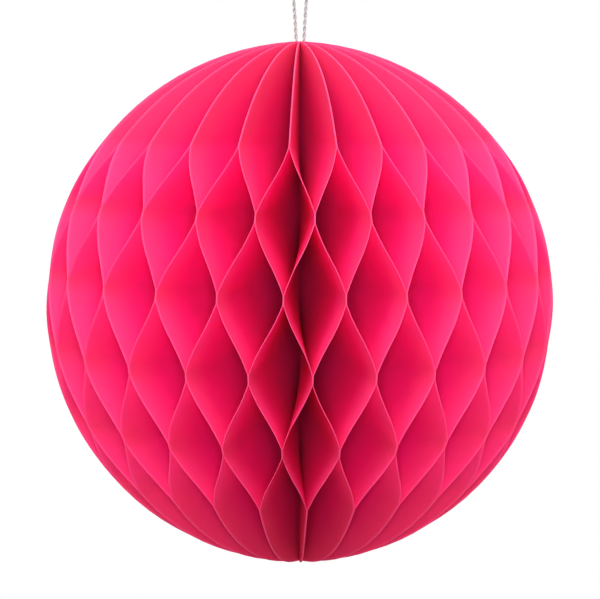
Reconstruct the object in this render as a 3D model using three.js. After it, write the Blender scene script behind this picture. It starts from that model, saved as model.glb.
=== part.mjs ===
// Honeycomb paper ball on a string: half-disc paper leaves stand round an upright spine, each one
// glued to its two neighbours on alternating rows, so that the opened pack forms diamond cells.
// Millimetres, +Z up, origin at the middle of the ball, front towards -Y.
// Turns are counted round +Z from the front towards +X, and the pack closes at a seam at the back.
import * as THREE from "three";

// Ball: the rim of the leaves follows an ellipse, which their tips at the two poles stand proud of
const ballHeight = 200;
const ballWidth = 196.4;
const topRise = 1.5;
const topRiseReach = 35; // radius over which the rise dies away
const bottomRise = 3.4;
const bottomRiseReach = 13;

// Leaves
const leafCount = 50;
const paperThickness = 0.2;
const glueFilm = 0.06; // between two glued faces
const spineSlack = 1.05; // room per leaf at the spine, as a multiple of its packed thickness
const seamTurn = -185; // degrees, where the first leaf begins
const leafCrowding = 0.108; // share by which the leaves stand closer at front and back
const crowdedTurn = 8.3; // degrees, where they stand closest
const frontLean = 2.8; // degrees that the front leaves turn from pole to pole
const leanFocus = 20; // how closely that turn keeps to the front

// Glue rows
const rowSpacing = 27.57; // at the middle of the ball
const rowCrowding = 0.007; // share by which the rows draw together towards the poles
const rowDrop = 0.45; // from the middle of the ball down to the middle of the rows
const rowWidth = 3.5;
const poleMargin = 25; // least height from the outermost rows to the poles
const creaseSoftness = 0.2; // 0 folds the panels straight, 1 eases them fully in and out of a row

// Covers of stiff card, taped back to back at the seam
const coverThickness = 0.5;
const coverInset = 0.6; // the rim of a cover inside the rim of the leaves
const coverSpineEdge = 0.5; // from the axis to the straight edge of a cover
const tapeThickness = 0.2;
const tapeWidth = 12;
const tapeLength = 50;
const tapeDistance = 60; // from the axis to the middle of a tape
const tapeHeight = 35; // from the middle of the ball to the middle of a tape

// Hanging string, tied through a hole in both covers
const stringDiameter = 1.35;
const holeClearance = 0.3; // between the string and the hole's edge
const wellClearance = 0.35; // between the string and the leaves round it
const holeDistance = 3; // from the axis
const holeHeight = 86; // above the middle of the ball

// One strand from its hole to the top of the loop: distance from the seam's plane, height over the hole
const strandRoute = [
  [0.2, 0],
  [1.5, 0.42],
  [2.5, 1.45],
  [2.9, 2.9],
  [2.72, 5],
  [2.1, 8],
  [1.6, 11],
  [1.45, 14],
  [1.62, 18],
  [1.95, 24],
  [2.45, 31],
  [3.05, 37],
  [3.75, 43],
  [3.85, 47],
  [2.8, 50.3],
  [0, 51.8],
];

// Fineness of the curved outlines
const panelSteps = 3; // rim steps across a folded panel
const poleSteps = 8; // rim steps from an outermost row to a pole
const rimHalvings = 40; // rounds in which the rim's radius at a height is closed in on
const coverSteps = 40;
const holeSteps = 10;
const stringSides = 8;
const stringSteps = 74;

const pink = { color: 0xf0185f, roughness: 0.9, metalness: 0 };
const white = { color: 0xe9e7e6, roughness: 0.85, metalness: 0 };
const clear = { color: 0xd9d4cc, roughness: 0.5, metalness: 0 };

const halfHeight = ballHeight / 2;
const halfWidth = ballWidth / 2;
const seam = crowdedTurnOf(0);
const coverOffset = tapeThickness / 2 + glueFilm; // from the seam's plane to a cover
const seamHalf = coverOffset + coverThickness + glueFilm / 2;
const packedLeaves = leafCount * (paperThickness + glueFilm) * spineSlack;
const spineRadius = (packedLeaves + 2 * seamHalf) / (2 * Math.PI);

// The leaves beside the seam step back from the string in a small well at the top of the spine.
const strandInside = strandRoute.filter(([, height]) => holeHeight + height < halfHeight + topRise);
const strandReach = Math.max(...strandInside.map(([across]) => across));
const strandDistance = Math.hypot(strandReach, holeDistance);
const strandRoom = stringDiameter / 2 + wellClearance;
const wellRadius = strandDistance + strandRoom;
const wellTurn = Math.atan2(strandReach, holeDistance) + Math.asin(strandRoom / strandDistance);
const wellFloor = holeHeight - strandRoom;

const rowHeights = glueRowHeights();

// Height of the rim at a radius, on the upper side (1) or the lower side (-1) of the ball.
function rimHeight(radius, side) {
  const [rise, reach] = side > 0 ? [topRise, topRiseReach] : [bottomRise, bottomRiseReach];
  const ellipse = halfHeight * Math.sqrt(1 - (radius / halfWidth) ** 2);
  return side * (ellipse + rise * Math.exp(-radius / reach));
}

// Radius of the rim at a height, closed in on from both sides.
function rimRadius(height) {
  let [inside, outside] = [0, halfWidth];
  for (let halving = 0; halving < rimHalvings; halving++) {
    const middle = (inside + outside) / 2;
    if (Math.abs(rimHeight(middle, Math.sign(height))) > Math.abs(height)) inside = middle;
    else outside = middle;
  }
  return inside;
}

// Heights of the glue rows, bottom to top, as many as fit between the pole margins.
function glueRowHeights() {
  const upper = [];
  for (let place = 0.5; ; place += 1) {
    const height = rowSpacing * place * (1 - rowCrowding * place ** 2);
    if (height > halfHeight - poleMargin || height <= (upper.at(-1) ?? 0)) break;
    upper.push(height);
  }
  const lower = upper.map((height) => -height).reverse();
  return [...lower, ...upper].map((height) => height - rowDrop);
}

// Turn of the boundary before a leaf, in radians, with the crowding at front and back.
function crowdedTurnOf(index) {
  const even = THREE.MathUtils.degToRad(seamTurn + (index * 360) / leafCount);
  const closest = THREE.MathUtils.degToRad(crowdedTurn);
  return even - (leafCrowding / 2) * Math.sin(2 * (even - closest));
}

// The same turn with room left at the seam for the covers, which take more of it near the spine.
function turnBesideSeam(turn, radius) {
  const room = Math.asin(seamHalf / radius);
  return seam + room + ((turn - seam) * (Math.PI - room)) / Math.PI;
}

function atTurn(radius, turn) {
  return new THREE.Vector2(radius * Math.sin(turn), -radius * Math.cos(turn));
}

// A boundary between two leaves seen from above: a straight line from the spine out to the rim,
// which turns with the height by its lean.
function boundaryLine(index) {
  const evenTurn = seam + (index * 2 * Math.PI) / leafCount;
  const start = atTurn(spineRadius, turnBesideSeam(evenTurn, spineRadius));
  const end = atTurn(halfWidth, turnBesideSeam(crowdedTurnOf(index), halfWidth));
  const along = end.sub(start).normalize();
  const frontShare = ((1 - Math.cos(evenTurn - seam)) / 2) ** leanFocus;
  const lean = (frontShare * THREE.MathUtils.degToRad(frontLean)) / ballHeight;
  return { start, along, across: new THREE.Vector2(-along.y, along.x), lean };
}

// The point at a radius and height beside a boundary, offset towards the next leaf.
function besideBoundary({ start, along, across, lean }, { radius, height }, offset) {
  const base = start.clone().addScaledVector(across, offset);
  const back = base.dot(along);
  const run = Math.sqrt(back ** 2 - base.lengthSq() + radius ** 2) - back;
  return base.addScaledVector(along, run).rotateAround(new THREE.Vector2(), lean * height);
}

// How far a leaf has crossed at a height: 0 on its first boundary, 1 on its second.
function crossingAt(height, leaf) {
  const glued = (row) => (leaf + row) % 2;
  const above = rowHeights.findIndex((row) => height <= row + rowWidth / 2);
  if (above === -1) return glued(rowHeights.length - 1);
  const foot = rowHeights[above] - rowWidth / 2;
  if (above === 0 || height >= foot) return glued(above);
  const head = rowHeights[above - 1] + rowWidth / 2;
  const share = (height - head) / (foot - head);
  const eased = share - (creaseSoftness * Math.sin(2 * Math.PI * share)) / (2 * Math.PI);
  return THREE.MathUtils.lerp(glued(above - 1), glued(above), eased);
}

// Corners of the rim from the edge of an outermost row to a tip at a radius.
function cornersToTip(rowEdge, tipRadius) {
  const start = Math.acos(rimRadius(rowEdge) / halfWidth);
  const end = Math.acos(tipRadius / halfWidth);
  return Array.from({ length: poleSteps }, (_, step) => {
    const turn = THREE.MathUtils.lerp(start, end, (step + 1) / poleSteps);
    const radius = halfWidth * Math.cos(turn);
    return { radius, height: rimHeight(radius, Math.sign(rowEdge)) };
  });
}

// Corners of a leaf's rim from its bottom tip to its top tip.
function rimCorners(topTipRadius) {
  const heights = [];
  rowHeights.forEach((row, index) => {
    const head = row + rowWidth / 2;
    heights.push(row - rowWidth / 2, head);
    if (index === rowHeights.length - 1) return;
    const foot = rowHeights[index + 1] - rowWidth / 2;
    for (let step = 1; step < panelSteps; step++) {
      heights.push(THREE.MathUtils.lerp(head, foot, step / panelSteps));
    }
  });
  return [
    ...cornersToTip(heights[0], spineRadius).reverse(),
    ...heights.map((height) => ({ radius: rimRadius(height), height })),
    ...cornersToTip(heights.at(-1), topTipRadius),
  ];
}

// One folded leaf: the flat half-disc's outline, zipped into two faces with a crease at each edge
// of a glue row and moved sideways between the two boundaries that the leaf is glued to.
function leafGeometry(leaf) {
  const leavesFromSeam = Math.min(leaf, leafCount - 1 - leaf);
  const atWell = (leavesFromSeam * 2 * Math.PI) / leafCount < wellTurn;
  const rim = rimCorners(atWell ? wellRadius : spineRadius);
  const spine = [rim[0]];
  for (const row of rowHeights) {
    spine.push({ height: row - rowWidth / 2, radius: spineRadius });
    spine.push({ height: row + rowWidth / 2, radius: spineRadius });
  }
  if (atWell) {
    spine.push({ height: wellFloor, radius: spineRadius }, { height: wellFloor, radius: wellRadius });
  }
  spine.push(rim.at(-1));

  const outline = [...rim, ...spine.slice(1, -1).reverse()];
  const place = new Map(outline.map((corner, index) => [corner, index]));
  const triangles = [];
  let outer = 0;
  let inner = 0;
  while (outer + 1 < rim.length || inner + 1 < spine.length) {
    const above = rim[outer + 1];
    const beside = spine[inner + 1];
    const climbsRim = beside === undefined || (above !== undefined && above.height <= beside.height);
    const corners = new Set([spine[inner], rim[outer], climbsRim ? above : beside]);
    if (corners.size === 3) triangles.push(Array.from(corners, (corner) => place.get(corner)));
    if (climbsRim) outer += 1;
    else inner += 1;
  }

  const before = boundaryLine(leaf);
  const after = boundaryLine(leaf + 1);
  const faceNear = glueFilm / 2;
  const faceFar = glueFilm / 2 + paperThickness;
  const face = (firstOffset, secondOffset) =>
    outline.flatMap((corner) => {
      const first = besideBoundary(before, corner, firstOffset);
      const second = besideBoundary(after, corner, -secondOffset);
      const point = first.lerp(second, crossingAt(corner.height, leaf)).setLength(corner.radius);
      return [point.x, point.y, corner.height];
    });
  const count = outline.length;
  const index = [];
  for (const [a, b, c] of triangles) index.push(a, b, c, count + a, count + c, count + b);
  outline.forEach((_, a) => {
    const b = (a + 1) % count;
    index.push(count + a, count + b, b, count + a, b, a);
  });
  return new THREE.BufferGeometry()
    .setAttribute(
      "position",
      new THREE.Float32BufferAttribute([...face(faceNear, faceFar), ...face(faceFar, faceNear)], 3),
    )
    .setIndex(index);
}

// One cover: a half-disc of card with the string's hole, standing on edge in the seam's plane.
function coverGeometry() {
  const width = halfWidth - coverInset;
  const height = halfHeight - coverInset;
  const tip = Math.acos(coverSpineEdge / width);
  const outline = new THREE.Shape();
  outline.absellipse(0, 0, width, height, -tip, tip);
  const hole = new THREE.Path();
  hole.absarc(holeDistance, holeHeight, stringDiameter / 2 + holeClearance, 0, 2 * Math.PI, true);
  const card = new THREE.Shape(outline.getPoints(coverSteps));
  card.holes.push(new THREE.Path(hole.getPoints(holeSteps)));
  return new THREE.ExtrudeGeometry(card, { depth: coverThickness, bevelEnabled: false }).rotateX(
    Math.PI / 2,
  );
}

// The string: both strands and the loop as one limp round cord, its ends meeting in the hole.
function stringGeometry() {
  const strand = strandRoute.map(
    ([across, height]) => new THREE.Vector3(holeDistance, across, holeHeight + height),
  );
  const other = strand.slice(0, -1).map((point) => new THREE.Vector3(point.x, -point.y, point.z));
  const route = new THREE.CatmullRomCurve3([...strand, ...other.reverse()]);
  const corners = Array.from({ length: stringSides }, (_, side) => {
    const turn = (2 * Math.PI * side) / stringSides;
    return new THREE.Vector2(Math.cos(turn), Math.sin(turn)).multiplyScalar(stringDiameter / 2);
  });
  return new THREE.ExtrudeGeometry(new THREE.Shape(corners), {
    steps: stringSteps,
    extrudePath: route,
  });
}

function named(name, geometry, finish) {
  const mesh = new THREE.Mesh(geometry, new THREE.MeshStandardMaterial(finish));
  mesh.name = name;
  return mesh;
}

const ball = new THREE.Group();

for (let leaf = 0; leaf < leafCount; leaf++) {
  const number = String(leaf + 1).padStart(2, "0");
  ball.add(named(`leaf_${number}`, leafGeometry(leaf), pink));
}

// Everything at the seam stands in a group whose +X points out along the seam from the axis
// and whose +Y points to the first leaf.
const seamGroup = new THREE.Group();
seamGroup.rotation.z = seam - Math.PI / 2;
ball.add(seamGroup);

const leftCover = named("cover_left", coverGeometry(), pink);
leftCover.position.y = coverOffset + coverThickness;
const rightCover = named("cover_right", coverGeometry(), pink);
rightCover.position.y = -coverOffset;
seamGroup.add(leftCover, rightCover);

for (const [end, side] of [
  ["upper", 1],
  ["lower", -1],
]) {
  const tape = named(
    `closing_tape_${end}`,
    new THREE.BoxGeometry(tapeWidth, tapeThickness, tapeLength),
    clear,
  );
  tape.position.set(tapeDistance, 0, side * tapeHeight);
  seamGroup.add(tape);
}

seamGroup.add(named("hanging_string", stringGeometry(), white));

export default ball;
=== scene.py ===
"""Honeycomb paper ball: the looks of its paper leaves, card covers, tapes and hanging string."""

import math

import bpy
from mathutils import Matrix, Vector, geometry, noise


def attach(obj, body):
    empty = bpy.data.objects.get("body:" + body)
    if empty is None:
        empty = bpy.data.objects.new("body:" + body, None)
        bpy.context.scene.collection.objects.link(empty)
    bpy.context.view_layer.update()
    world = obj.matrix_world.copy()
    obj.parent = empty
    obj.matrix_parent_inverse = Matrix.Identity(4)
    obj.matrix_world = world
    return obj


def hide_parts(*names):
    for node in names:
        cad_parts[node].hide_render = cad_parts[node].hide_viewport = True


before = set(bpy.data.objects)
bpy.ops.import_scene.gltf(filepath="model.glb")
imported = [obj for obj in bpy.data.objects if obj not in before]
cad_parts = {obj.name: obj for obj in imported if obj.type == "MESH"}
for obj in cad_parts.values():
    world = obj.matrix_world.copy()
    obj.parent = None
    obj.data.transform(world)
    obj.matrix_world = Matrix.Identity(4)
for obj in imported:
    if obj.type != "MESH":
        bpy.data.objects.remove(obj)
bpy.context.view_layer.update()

# Ball, in metres as everything here: an ellipse, and the leaf tips that stand proud of it at the poles
HALF_HEIGHT = 0.1
HALF_WIDTH = 0.0982
TOP_RISE = 0.0015
TOP_RISE_REACH = 0.035
BOTTOM_RISE = 0.0034
BOTTOM_RISE_REACH = 0.013
RIM_HALVINGS = 40

# Leaves, counted from the seam at the back
LEAF_NAMES = sorted(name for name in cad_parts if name.startswith("leaf_"))
PAPER = 0.0002
GLUE_FILM = 0.00006
SPINE_SLACK = 1.05
# The leaves' inner edges lie at this share of the spine's radius, so that no gap shows between them
SPINE_CLOSING = 0.83
SEAM_TURN = math.radians(-185)
LEAF_CROWDING = 0.108
CROWDED_TURN = math.radians(8.3)
FRONT_LEAN = math.radians(2.8)
LEAN_FOCUS = 20

# Glue rows, heights from the middle of the ball
ROW_SPACING = 0.02757
ROW_CROWDING = 0.007
ROW_PLACES = (-2.5, -1.5, -0.5, 0.5, 1.5, 2.5)
ROW_DROP = 0.00045
ROW_WIDTH = 0.0035
CREASE_SOFTNESS = 0.2

# Covers, tape and the string's well at the seam
COVER_THICKNESS = 0.0005
TAPE_THICKNESS = 0.0002
HOLE_DISTANCE = 0.003
HOLE_HEIGHT = 0.086
WELL_RADIUS = 0.0052
WELL_FLOOR = 0.085
WELL_SLOPE = 0.0015
WELL_LEAVES = 9

# Slow waves of the paper, deepest at the rim
WAVE_DEPTH = 0.0006
WAVE_HEIGHT = 0.028
WAVE_REACH = 0.07
WAVE_APART = 3.7

# Fineness of a leaf, and the angles up to which leaves and string are shaded smooth
LEAF_COLUMNS = 10
POLE_STEPS = 12
PANEL_STEPS = 9
STRIP_STEPS = 2
MERGE_DISTANCE = 0.000001
LEAF_SMOOTHING = math.radians(40)
STRING_SMOOTHING = math.radians(60)

# String: its diameter, the length of one twist, a ply's radius as a share of the diameter, its fineness
STRING_DIAMETER = 0.00135
STRING_LAY = 0.005
PLY_SHARE = 0.27
PLY_SIDES = 24
STRING_STEPS = 20

# One strand from its hole to the top of the loop: distance from the seam's plane, height over the hole
STRAND_ROUTE = (
    (0.0002, 0.0),
    (0.0015, 0.00042),
    (0.0025, 0.00145),
    (0.0029, 0.0029),
    (0.00272, 0.005),
    (0.0021, 0.008),
    (0.0016, 0.011),
    (0.00145, 0.014),
    (0.00162, 0.018),
    (0.00195, 0.024),
    (0.00245, 0.031),
    (0.00305, 0.037),
    (0.00375, 0.043),
    (0.00385, 0.047),
    (0.0028, 0.0503),
    (0.0, 0.0518),
)

# Camera, fitted to the glue rows' places in the photograph, and the image in pixels
IMAGE_WIDTH = 600
FOCAL_LENGTH_PIXELS = 1788.7
CAMERA_DISTANCE = 0.7
CAMERA_ELEVATION = math.radians(7.21)
BALL_LEFT_PIXELS = 0.4
BALL_BELOW_PIXELS = 3.7
SENSOR_WIDTH_MM = 36

# Light: the soft surroundings by how high they stand, and lamps as turn to the right of the camera
# and climb in degrees, distance, width, and how bright a white sheet that faces the lamp becomes
SURROUNDINGS = (0.05, 0.08, 0.15)
LAMPS = {
    "soft_box_left": (-45, 36, 1.5, 0.6, 0.2),
    "soft_box_right": (45, 36, 1.5, 0.6, 0.14),
    "soft_box_top": (-8, 58, 1.5, 1.2, 0.9),
    "soft_box_top_back": (172, 58, 1.5, 1.2, 0.9),
    "soft_box_back_left": (-135, 36, 1.5, 0.6, 0.2),
    "soft_box_back_right": (135, 36, 1.5, 0.6, 0.2),
    "front_light": (0, 7.2, 0.7, 0.12, 0.52),
    "back_light": (180, 7.2, 0.7, 0.12, 0.48),
    "side_light_left": (-90, 7.2, 0.7, 0.12, 0.25),
    "side_light_right": (90, 7.2, 0.7, 0.12, 0.25),
}
FLOOR_HEIGHT = -0.9
FLOOR_RADIUS = 1.6
FLOOR_SIDES = 96
FLOOR_GLOW = 0.65
# How often light is followed from leaf to leaf into the cells
CELL_BOUNCES = 8

# Colours: the paper in the cells, deeper there as painted shade; towards the rim, paler as painted
# light;
# at the cut edge, palest as a painted highlight; and where light comes through it; then the string,
# white cotton darkened to grey as painted shade, the tapes and the floor
# Painted shade: the inner paper colour, deepened the way the shaded cells look
PINK = (0.985, 0.007, 0.255, 1)
# Painted light: the paper paler towards the rim, where the lamps reach the leaves
PINK_PAINTED_RIM_LIGHT = (0.985, 0.054, 0.23, 1)
# Painted highlight: the paper palest at its cut edge, where the rims catch the light
PINK_PAINTED_EDGE_HIGHLIGHT = (0.985, 0.11, 0.31, 1)
PINK_THROUGH = (0.99, 0.01, 0.55, 1)
# Painted shade: white cotton darkened to grey, as its shaded side looks under the lamps
COTTON_DARKENED_AS_PAINTED_SHADE = (0.45, 0.45, 0.445, 1)
TAPE = (0.7, 0.66, 0.6, 1)
FLOOR = (0.4, 0.4, 0.4, 1)
WHITE = (1, 1, 1, 1)

# Paper: the share of its light that comes through, and how far in from the rim its painted rim light
# and painted edge highlight reach, as shares of the way from the middle of the ball
TRANSLUCENCY = 0.4
PAINTED_RIM_LIGHT_FADE = 0.18
PAINTED_EDGE_HIGHLIGHT_FADE = (0.012, 0.003)

# Shades: how much of the paper's tint is cloudy pulp, where that tint begins and ends, how far the
# shades of a colour lie apart, and how much of its brightness a duller place keeps
PULP_SHARE = 0.7
TINT_RANGE = (0.3, 0.7)
PAPER_SHADES = 0.07
CARD_SHADES = 0.1
TAPE_DULLING = 0.85
COTTON_DULLING = 0.93

# Grain: clouds to a metre, detail and roughness of the noise
PULP = (260, 4, 0.6)
PAPER_FIBRES = (2600, 6, 0.7)
CARD_GRAIN = (420, 5, 0.6)
TAPE_BUBBLES = (900, 3, 0.6)
COTTON_FIBRES = (5200, 5, 0.7)

# Bumps as strength and depth, and roughness as the least of it and what the grain adds
PAPER_BUMP = (0.35, 0.00006)
CARD_BUMP = (0.3, 0.00005)
COTTON_BUMP = (0.15, 0.00005)
PAPER_ROUGHNESS = (0.7, 0.2)
CARD_ROUGHNESS = (0.6, 0.2)
TAPE_ROUGHNESS = (0.35, 0.3)
COTTON_ROUGHNESS = (0.75, 0.2)


def rim_height(radius, side):
    """Height of the rim at a radius, on the upper side (1) or the lower side (-1) of the ball."""
    rise, reach = (TOP_RISE, TOP_RISE_REACH) if side > 0 else (BOTTOM_RISE, BOTTOM_RISE_REACH)
    ellipse = HALF_HEIGHT * math.sqrt(1 - (radius / HALF_WIDTH) ** 2)
    return side * (ellipse + rise * math.exp(-radius / reach))


def rim_radius(height):
    """Radius of the rim at a height, closed in on from both sides."""
    inside, outside = 0, HALF_WIDTH
    for _ in range(RIM_HALVINGS):
        middle = (inside + outside) / 2
        if abs(rim_height(middle, math.copysign(1, height))) > abs(height):
            inside = middle
        else:
            outside = middle
    return inside


def crowded_turn(index):
    """Turn of the boundary before a leaf, with the leaves closer together at front and back."""
    even = SEAM_TURN + index * math.tau / len(LEAF_NAMES)
    return even - LEAF_CROWDING / 2 * math.sin(2 * (even - CROWDED_TURN))


SEAM = crowded_turn(0)
SEAM_HALF = TAPE_THICKNESS / 2 + GLUE_FILM + COVER_THICKNESS + GLUE_FILM / 2
PACKED_LEAVES = len(LEAF_NAMES) * (PAPER + GLUE_FILM) * SPINE_SLACK
SPINE_RADIUS = (PACKED_LEAVES + 2 * SEAM_HALF) / math.tau
INNER_RADIUS = SPINE_RADIUS * SPINE_CLOSING
ROW_HEIGHTS = [
    ROW_SPACING * place * (1 - ROW_CROWDING * place**2) - ROW_DROP for place in ROW_PLACES
]


def turn_beside_seam(turn, radius):
    """The same turn with the room that the covers take at the seam."""
    room = math.asin(SEAM_HALF / radius)
    return SEAM + room + (turn - SEAM) * (math.pi - room) / math.pi


def at_turn(radius, turn):
    """The point seen from above at a radius and a turn, which counts from the front to the right."""
    return Vector((radius * math.sin(turn), -radius * math.cos(turn)))


def boundary_line(index):
    """A boundary between two leaves seen from above: its start, its direction and its lean."""
    even = SEAM + index * math.tau / len(LEAF_NAMES)
    start = at_turn(SPINE_RADIUS, turn_beside_seam(even, SPINE_RADIUS))
    end = at_turn(HALF_WIDTH, turn_beside_seam(crowded_turn(index), HALF_WIDTH))
    front_share = ((1 - math.cos(even - SEAM)) / 2) ** LEAN_FOCUS
    return start, (end - start).normalized(), front_share * FRONT_LEAN / (2 * HALF_HEIGHT)


BOUNDARIES = [boundary_line(index) for index in range(len(LEAF_NAMES) + 1)]


def paper_wave(index, radius, height):
    """How far the paper at a boundary waves sideways, with none at the covers."""
    if index in (0, len(LEAF_NAMES)):
        return 0
    place = Vector((WAVE_APART * index, height / WAVE_HEIGHT, radius / WAVE_REACH))
    return noise.noise(place) * WAVE_DEPTH * radius / HALF_WIDTH


def beside_boundary(index, radius, offset, height):
    """The point at a radius and height beside a boundary, offset towards the next leaf."""
    start, along, lean = BOUNDARIES[index]
    across = Vector((-along.y, along.x))
    base = start + across * (offset + paper_wave(index, radius, height))
    back = base.dot(along)
    run = math.sqrt(back**2 - base.length_squared + radius**2) - back
    return Matrix.Rotation(lean * height, 2) @ (base + along * run)


def crossing(height, leaf):
    """How far a leaf has crossed at a height: 0 on its first boundary, 1 on its second."""
    glued = [(leaf + row) % 2 for row in range(len(ROW_HEIGHTS))]
    for row, row_height in enumerate(ROW_HEIGHTS):
        if height > row_height + ROW_WIDTH / 2:
            continue
        foot = row_height - ROW_WIDTH / 2
        if row == 0 or height >= foot:
            return glued[row]
        head = ROW_HEIGHTS[row - 1] + ROW_WIDTH / 2
        share = (height - head) / (foot - head)
        eased = share - CREASE_SOFTNESS * math.sin(math.tau * share) / math.tau
        return glued[row - 1] + (glued[row] - glued[row - 1]) * eased
    return glued[-1]


def folded(leaf, radius, height):
    """Where a point of the flat leaf lies on the folded one, midway through the paper."""
    offset = GLUE_FILM / 2 + PAPER / 2
    first = beside_boundary(leaf, radius, offset, height)
    second = beside_boundary(leaf + 1, radius, -offset, height)
    point = first.lerp(second, crossing(height, leaf))
    point.length = radius
    return point.x, point.y, height


def levels_to_tip(row_edge, tip_radius):
    """Heights evenly spaced round the rim from the edge of an outermost row to a tip at a radius."""
    start = math.acos(rim_radius(row_edge) / HALF_WIDTH)
    end = math.acos(tip_radius / HALF_WIDTH)
    turns = (start + (end - start) * (step + 1) / POLE_STEPS for step in range(POLE_STEPS))
    return [rim_height(HALF_WIDTH * math.cos(turn), math.copysign(1, row_edge)) for turn in turns]


def leaf_levels(at_well):
    """Heights of a leaf's mesh lines from its bottom tip to its top tip, with one at each crease."""
    heads = [height + ROW_WIDTH / 2 for height in ROW_HEIGHTS]
    feet = [height - ROW_WIDTH / 2 for height in ROW_HEIGHTS]
    levels = levels_to_tip(feet[0], SPINE_RADIUS)
    levels += levels_to_tip(heads[-1], WELL_RADIUS if at_well else SPINE_RADIUS)
    for foot, head in zip(feet, heads):
        levels += [foot + (head - foot) * step / STRIP_STEPS for step in range(STRIP_STEPS)] + [head]
    for head, foot in zip(heads, feet[1:]):
        levels += [head + (foot - head) * step / PANEL_STEPS for step in range(1, PANEL_STEPS)]
    if at_well:
        levels += [WELL_FLOOR - WELL_SLOPE, WELL_FLOOR]
    return sorted(levels)


def select_only(piece):
    bpy.ops.object.select_all(action="DESELECT")
    piece.select_set(True)
    bpy.context.view_layer.objects.active = piece


def add_flat_leaf(at_well):
    """The flat half-disc of paper as cut, with a notch in its straight edge if it stands at the well."""
    levels = leaf_levels(at_well)
    bpy.ops.object.select_all(action="DESELECT")
    bpy.ops.mesh.primitive_grid_add(
        size=1, x_subdivisions=LEAF_COLUMNS, y_subdivisions=len(levels) - 1
    )
    leaf = bpy.context.object
    for vertex in leaf.data.vertices:
        height = levels[round((vertex.co.y + 0.5) * (len(levels) - 1))]
        inner = WELL_RADIUS if at_well and height >= WELL_FLOOR else INNER_RADIUS
        outer = max(inner, rim_radius(height))
        vertex.co = (inner + (outer - inner) * (vertex.co.x + 0.5), 0, height)
    bpy.ops.object.mode_set(mode="EDIT")
    bpy.ops.mesh.select_all(action="SELECT")
    bpy.ops.mesh.remove_doubles(threshold=MERGE_DISTANCE)
    bpy.ops.object.mode_set(mode="OBJECT")
    return leaf


def add_leaf(flat_leaf, index, paper):
    """One leaf: a copy of the flat one, folded between its two neighbours and given its thickness."""
    leaf = flat_leaf.copy()
    leaf.data = flat_leaf.data.copy()
    leaf.name = f"paper_{LEAF_NAMES[index]}"
    bpy.context.collection.objects.link(leaf)
    for vertex in leaf.data.vertices:
        vertex.co = folded(index, vertex.co.x, vertex.co.z)
    select_only(leaf)
    thicken = leaf.modifiers.new("paper", "SOLIDIFY")
    thicken.thickness = PAPER
    thicken.offset = 0
    bpy.ops.object.modifier_apply(modifier=thicken.name)
    bpy.ops.object.shade_smooth_by_angle(angle=LEAF_SMOOTHING)
    leaf.data.materials.append(paper)
    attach(leaf, "root")
    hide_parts(LEAF_NAMES[index])


def add_leaves(paper):
    """All leaves, of which those beside the seam leave room for the string."""
    flat_leaves = {at_well: add_flat_leaf(at_well) for at_well in (False, True)}
    for index in range(len(LEAF_NAMES)):
        from_seam = min(index, len(LEAF_NAMES) - 1 - index)
        add_leaf(flat_leaves[from_seam < WELL_LEAVES], index, paper)
    for flat_leaf in flat_leaves.values():
        bpy.data.objects.remove(flat_leaf)


def string_route():
    """The string's points from one end in the hole round the loop to the other end."""
    out = at_turn(1, SEAM)
    to_first_leaf = Vector((-out.y, out.x))
    other_strand = [(-across, height) for across, height in STRAND_ROUTE[-2::-1]]
    route = []
    for across, height in [*STRAND_ROUTE, *other_strand]:
        place = out * HOLE_DISTANCE + to_first_leaf * across
        route.append(Vector((place.x, place.y, HOLE_HEIGHT + height)))
    return route


def add_ply_outline():
    """Section of the string: two plies that press on each other."""
    ply_radius = STRING_DIAMETER * PLY_SHARE
    ply_offset = STRING_DIAMETER / 2 - ply_radius
    curve = bpy.data.curves.new("ply_outline", "CURVE")
    spline = curve.splines.new("POLY")
    spline.points.add(PLY_SIDES - 1)
    spline.use_cyclic_u = True
    for side, point in enumerate(spline.points):
        turn = math.tau * side / PLY_SIDES
        lean = abs(ply_offset * math.cos(turn))
        reach = lean + math.sqrt(ply_radius**2 - (ply_offset * math.sin(turn)) ** 2)
        point.co = (reach * math.cos(turn), reach * math.sin(turn), 0, 1)
    outline = bpy.data.objects.new("ply_outline", curve)
    bpy.context.collection.objects.link(outline)
    return outline


def bezier_path(points):
    """Points along a curve's bends, close enough together to have its length."""
    path = []
    for start, end in zip(points[:-1], points[1:]):
        bend = (start.co, start.handle_right, end.handle_left, end.co)
        path += geometry.interpolate_bezier(*bend, STRING_STEPS + 1)[:-1]
    return [tuple(point) for point in [*path, points[-1].co]]


def add_string(cotton):
    """The string: a two-ply section drawn along its route, turned by the lay of the plies."""
    route = string_route()
    outline = add_ply_outline()
    curve = bpy.data.curves.new("twisted_string", "CURVE")
    curve.dimensions = "3D"
    curve.resolution_u = STRING_STEPS
    curve.bevel_mode = "OBJECT"
    curve.bevel_object = outline
    curve.use_fill_caps = True
    spline = curve.splines.new("BEZIER")
    spline.bezier_points.add(len(route) - 1)
    run = 0
    for before, place, point in zip([route[0], *route], route, spline.bezier_points):
        point.co = place
        point.handle_left_type = "AUTO"
        point.handle_right_type = "AUTO"
        run += (place - before).length
        point.tilt = math.tau * run / STRING_LAY
    string = bpy.data.objects.new("twisted_string", curve)
    bpy.context.collection.objects.link(string)
    bpy.context.view_layer.update()
    path = bezier_path(spline.bezier_points)
    select_only(string)
    bpy.ops.object.convert(target="MESH")
    string = bpy.context.object
    bpy.data.objects.remove(outline)
    bpy.ops.object.shade_smooth_by_angle(angle=STRING_SMOOTHING)
    string.data.materials.append(cotton)
    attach(string, "root")
    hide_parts("hanging_string")


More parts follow.
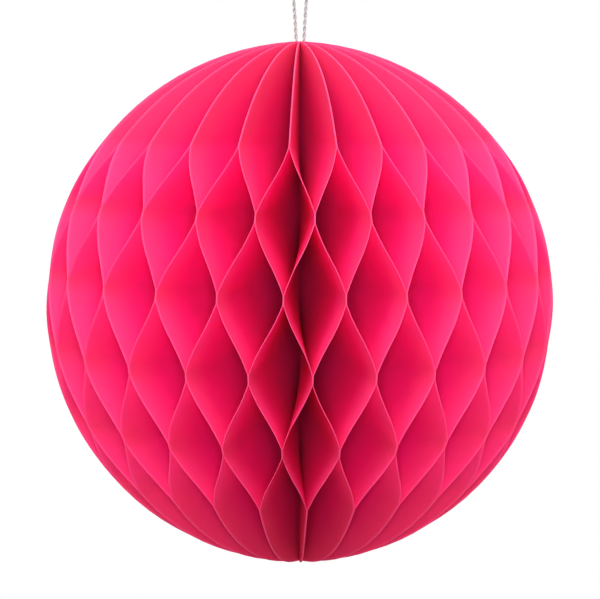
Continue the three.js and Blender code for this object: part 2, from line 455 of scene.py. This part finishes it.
class Socket:
    """A socket in a node tree. Maths on it adds Math nodes, and node() adds any other node."""

    def __init__(self, tree, output=None):
        self.tree = tree
        self.output = output

    def node(self, kind, settings=None, inputs=None, output=0):
        made = self.tree.nodes.new(kind)
        for name, value in (settings or {}).items():
            if name == "stops":
                self.set_stops(made.color_ramp, value)
            else:
                setattr(made, name, value)
        for name, value in (inputs or {}).items():
            if isinstance(value, Socket):
                self.tree.links.new(value.output, made.inputs[name])
            else:
                made.inputs[name].default_value = value
        return Socket(self.tree, made.outputs[output] if made.outputs else None)

    @staticmethod
    def set_stops(ramp, stops):
        while len(ramp.elements) < len(stops):
            ramp.elements.new(1)
        for element, (place, colour) in zip(ramp.elements, stops):
            element.position = place
            element.color = colour

    def math(self, operation, first, second):
        return self.node("ShaderNodeMath", {"operation": operation}, {0: first, 1: second})

    def __add__(self, other):
        return self.math("ADD", self, other)

    def __radd__(self, other):
        return self.math("ADD", other, self)

    def __sub__(self, other):
        return self.math("SUBTRACT", self, other)

    def __rsub__(self, other):
        return self.math("SUBTRACT", other, self)

    def __mul__(self, other):
        return self.math("MULTIPLY", self, other)

    def __rmul__(self, other):
        return self.math("MULTIPLY", other, self)

    def __truediv__(self, other):
        return self.math("DIVIDE", self, other)

    def __pow__(self, other):
        return self.math("POWER", self, other)

    def __rpow__(self, other):
        return self.math("POWER", other, self)

    def mix(self, first, second):
        """A colour between two, with this socket as the share of the second."""
        settings = {"data_type": "RGBA"}
        # A Mix node's sockets for colours come after those for numbers and vectors
        return self.node("ShaderNodeMix", settings, {0: self, 6: first, 7: second}, 2)

    def clamped(self, low, high):
        """0 below the low value, 1 above the high one, and smooth between them."""
        settings = {"interpolation_type": "SMOOTHSTEP"}
        inputs = {"Value": self, "From Min": low, "From Max": high}
        return self.node("ShaderNodeMapRange", settings, inputs)


def new_material(name):
    """A bare material, and the socket that its nodes start from."""
    material = bpy.data.materials.new(name)
    material.use_nodes = True
    material.node_tree.nodes.clear()
    return material, Socket(material.node_tree)


def grain(start, place, scale, detail, roughness):
    """Cloudy noise around 0.5."""
    inputs = {"Vector": place, "Scale": scale, "Detail": detail, "Roughness": roughness}
    return start.node("ShaderNodeTexNoise", None, inputs, "Fac")


def bumped(start, height, strength, distance):
    """The normal of a surface with small bumps."""
    inputs = {"Strength": strength, "Distance": distance, "Height": height}
    return start.node("ShaderNodeBump", None, inputs, "Normal")


def roughened(by_grain, least, added):
    return least + added * by_grain


def ball_reach(start, place):
    """How far a place lies from the middle of the ball, as a share of the way to the leaves' rim."""
    x, y, z = (start.node("ShaderNodeSeparateXYZ", None, {0: place}, axis) for axis in "XYZ")
    radius = (x * x + y * y) ** 0.5
    upper = z.math("GREATER_THAN", z, 0)
    top_rise = TOP_RISE * math.e ** (radius / -TOP_RISE_REACH)
    bottom_rise = BOTTOM_RISE * math.e ** (radius / -BOTTOM_RISE_REACH)
    height = z.math("MAXIMUM", z, z * -1) - upper * top_rise - (1 - upper) * bottom_rise
    return ((radius / HALF_WIDTH) ** 2 + (height / HALF_HEIGHT) ** 2) ** 0.5


def painted_rim_light(start, place, inner, rim):
    """The paper's colour with painted light: paler towards the rim, palest at the cut edge as a painted
    highlight, and deeper inside as painted shade.
    """
    reach = ball_reach(start, place)
    # Painted light: paler towards the rim, and palest at the cut edge as a painted highlight
    outward = reach.clamped(1 - PAINTED_RIM_LIGHT_FADE, 1)
    # Painted highlight: the thin band at the cut edge
    edge = reach.clamped(1 - PAINTED_EDGE_HIGHLIGHT_FADE[0], 1 - PAINTED_EDGE_HIGHLIGHT_FADE[1])
    return edge.mix(outward.mix(inner, rim), PINK_PAINTED_EDGE_HIGHLIGHT)


def shades(colour, spread):
    """A darker and a lighter shade of a colour."""
    darker = [channel * (1 - spread) for channel in colour[:3]]
    lighter = [min(1, channel * (1 + spread)) for channel in colour[:3]]
    return (*darker, 1), (*lighter, 1)


def dulled(colour, share):
    """A colour with only a share of its brightness."""
    return (*(channel * share for channel in colour[:3]), 1)


def make_paper():
    """Dyed matt paper that lets some light through, with cloudy pulp and short fibres, painted paler
    towards its rim as painted light and deeper inside as painted shade.
    """
    material, start = new_material("pink_paper")
    place = start.node("ShaderNodeTexCoord", output="Object")
    clouds = grain(start, place, *PULP)
    fibres = grain(start, place, *PAPER_FIBRES)
    tint = (clouds * PULP_SHARE + fibres * (1 - PULP_SHARE)).clamped(*TINT_RANGE)
    inner = tint.mix(*shades(PINK, PAPER_SHADES))
    # Painted light: the paler colour towards the rim
    rim = tint.mix(*shades(PINK_PAINTED_RIM_LIGHT, PAPER_SHADES))
    front = start.node(
        "ShaderNodeBsdfPrincipled",
        None,
        {
            "Base Color": painted_rim_light(start, place, inner, rim),
            "Roughness": roughened(clouds, *PAPER_ROUGHNESS),
            "Normal": bumped(start, fibres + clouds, *PAPER_BUMP),
        },
    )
    through = start.node("ShaderNodeBsdfTranslucent", None, {"Color": PINK_THROUGH})
    shader = start.node("ShaderNodeMixShader", None, {"Fac": TRANSLUCENCY, 1: front, 2: through})
    start.node("ShaderNodeOutputMaterial", None, {"Surface": shader})
    return material


def make_card():
    """Stiff pink card for the covers, smoother than the paper, painted paler towards its rim as painted
    light and palest at its cut edge as a painted highlight.
    """
    material, start = new_material("pink_card")
    place = start.node("ShaderNodeTexCoord", output="Object")
    clouds = grain(start, place, *CARD_GRAIN)
    inner = clouds.mix(*shades(PINK, CARD_SHADES))
    # The card is painted paler towards its rim as painted light, and palest at its cut edge as a painted
    # highlight
    shader = start.node(
        "ShaderNodeBsdfPrincipled",
        None,
        {
            "Base Color": painted_rim_light(start, place, inner, PINK_PAINTED_RIM_LIGHT),
            "Roughness": roughened(clouds, *CARD_ROUGHNESS),
            "Normal": bumped(start, clouds, *CARD_BUMP),
        },
    )
    start.node("ShaderNodeOutputMaterial", None, {"Surface": shader})
    return material


def make_tape():
    """Double-sided tape: pale milky film with small bubbles in its glue."""
    material, start = new_material("milky_tape")
    place = start.node("ShaderNodeTexCoord", output="Object")
    bubbles = grain(start, place, *TAPE_BUBBLES)
    shader = start.node(
        "ShaderNodeBsdfPrincipled",
        None,
        {
            "Base Color": bubbles.mix(dulled(TAPE, TAPE_DULLING), TAPE),
            "Roughness": roughened(bubbles, *TAPE_ROUGHNESS),
        },
    )
    start.node("ShaderNodeOutputMaterial", None, {"Surface": shader})
    return material


def make_cotton():
    """White cotton yarn, darkened to grey as painted shade, with fine fibres."""
    material, start = new_material("white_cotton_darkened_as_painted_shade")
    place = start.node("ShaderNodeTexCoord", output="Object")
    fibres = grain(start, place, *COTTON_FIBRES)
    shader = start.node(
        # The yarn's colour is white cotton darkened to grey as painted shade
        "ShaderNodeBsdfPrincipled",
        None,
        {
            "Base Color": fibres.mix(dulled(COTTON_DARKENED_AS_PAINTED_SHADE, COTTON_DULLING), COTTON_DARKENED_AS_PAINTED_SHADE),
            "Roughness": roughened(fibres, *COTTON_ROUGHNESS),
            "Normal": bumped(start, fibres, *COTTON_BUMP),
        },
    )
    start.node("ShaderNodeOutputMaterial", None, {"Surface": shader})
    return material


def dress_node(name, material):
    """A better material for a solid that keeps its shape."""
    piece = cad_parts[name]
    piece.data.materials.clear()
    piece.data.materials.append(material)


def add_camera():
    data = bpy.data.cameras.new("camera")
    data.sensor_width = SENSOR_WIDTH_MM
    data.lens = FOCAL_LENGTH_PIXELS * SENSOR_WIDTH_MM / IMAGE_WIDTH
    data.shift_x = BALL_LEFT_PIXELS / IMAGE_WIDTH
    data.shift_y = BALL_BELOW_PIXELS / IMAGE_WIDTH
    camera = bpy.data.objects.new("camera", data)
    camera.location = (
        0,
        -CAMERA_DISTANCE * math.cos(CAMERA_ELEVATION),
        CAMERA_DISTANCE * math.sin(CAMERA_ELEVATION),
    )
    camera.rotation_euler = (math.pi / 2 - CAMERA_ELEVATION, 0, 0)
    bpy.context.collection.objects.link(camera)
    bpy.context.scene.camera = camera


def seen_ray(start):
    """1 on rays that show a place to the camera, straight or in a reflection, and 0 on other rays."""
    seen = start.node("ShaderNodeLightPath", output="Is Camera Ray")
    for kind in ("Is Glossy Ray", "Is Transmission Ray"):
        seen = seen.math("MAXIMUM", seen, start.node("ShaderNodeLightPath", output=kind))
    return seen


def add_surroundings():
    """Soft light from all round, brighter from above, with a white backdrop for the camera."""
    world = bpy.data.worlds.new("white_surroundings")
    world.use_nodes = True
    world.node_tree.nodes.clear()
    start = Socket(world.node_tree)
    place = start.node("ShaderNodeTexCoord", output="Generated")
    height = start.node("ShaderNodeSeparateXYZ", None, {0: place}, "Z")
    last = len(SURROUNDINGS) - 1
    stops = [(step / last, (value, value, value, 1)) for step, value in enumerate(SURROUNDINGS)]
    light = start.node("ShaderNodeValToRGB", {"stops": stops}, {"Fac": 0.5 + 0.5 * height})
    colour = seen_ray(start).mix(light, WHITE)
    shader = start.node("ShaderNodeBackground", None, {"Color": colour, "Strength": 1})
    start.node("ShaderNodeOutputWorld", None, {"Surface": shader})
    bpy.context.scene.world = world


def add_lamp(name, turn, climb, distance, width, level):
    """A square lamp that faces the ball and lights a white sheet there to the level (1 is white)."""
    data = bpy.data.lights.new(name, "AREA")
    data.size = width
    data.energy = level * math.pi**2 * distance**2
    lamp = bpy.data.objects.new(name, data)
    outward = at_turn(distance * math.cos(math.radians(climb)), math.radians(turn))
    lamp.location = (outward.x, outward.y, distance * math.sin(math.radians(climb)))
    lamp.rotation_euler = (-lamp.location).to_track_quat("-Z", "Y").to_euler()
    bpy.context.collection.objects.link(lamp)


def add_floor():
    """A pale round floor far under the hung ball, white where the camera sees it lit."""
    bpy.ops.object.select_all(action="DESELECT")
    bpy.ops.mesh.primitive_circle_add(
        vertices=FLOOR_SIDES, radius=FLOOR_RADIUS, fill_type="NGON", location=(0, 0, FLOOR_HEIGHT)
    )
    floor = bpy.context.object
    floor.name = "floor"
    material, start = new_material("pale_floor")
    lit = start.node("ShaderNodeBsdfDiffuse", None, {"Color": FLOOR})
    inputs = {"Color": WHITE, "Strength": seen_ray(start) * FLOOR_GLOW}
    glow = start.node("ShaderNodeEmission", None, inputs)
    shader = start.node("ShaderNodeAddShader", None, {0: lit, 1: glow})
    start.node("ShaderNodeOutputMaterial", None, {"Surface": shader})
    floor.data.materials.append(material)


add_camera()
add_string(make_cotton())
add_leaves(make_paper())
card = make_card()
tape = make_tape()
for side in ("left", "right"):
    dress_node(f"cover_{side}", card)
for end in ("upper", "lower"):
    dress_node(f"closing_tape_{end}", tape)
add_surroundings()
for name, settings in LAMPS.items():
    add_lamp(name, *settings)
add_floor()
bpy.context.scene.view_settings.view_transform = "Standard"
bpy.context.scene.cycles.diffuse_bounces = CELL_BOUNCES
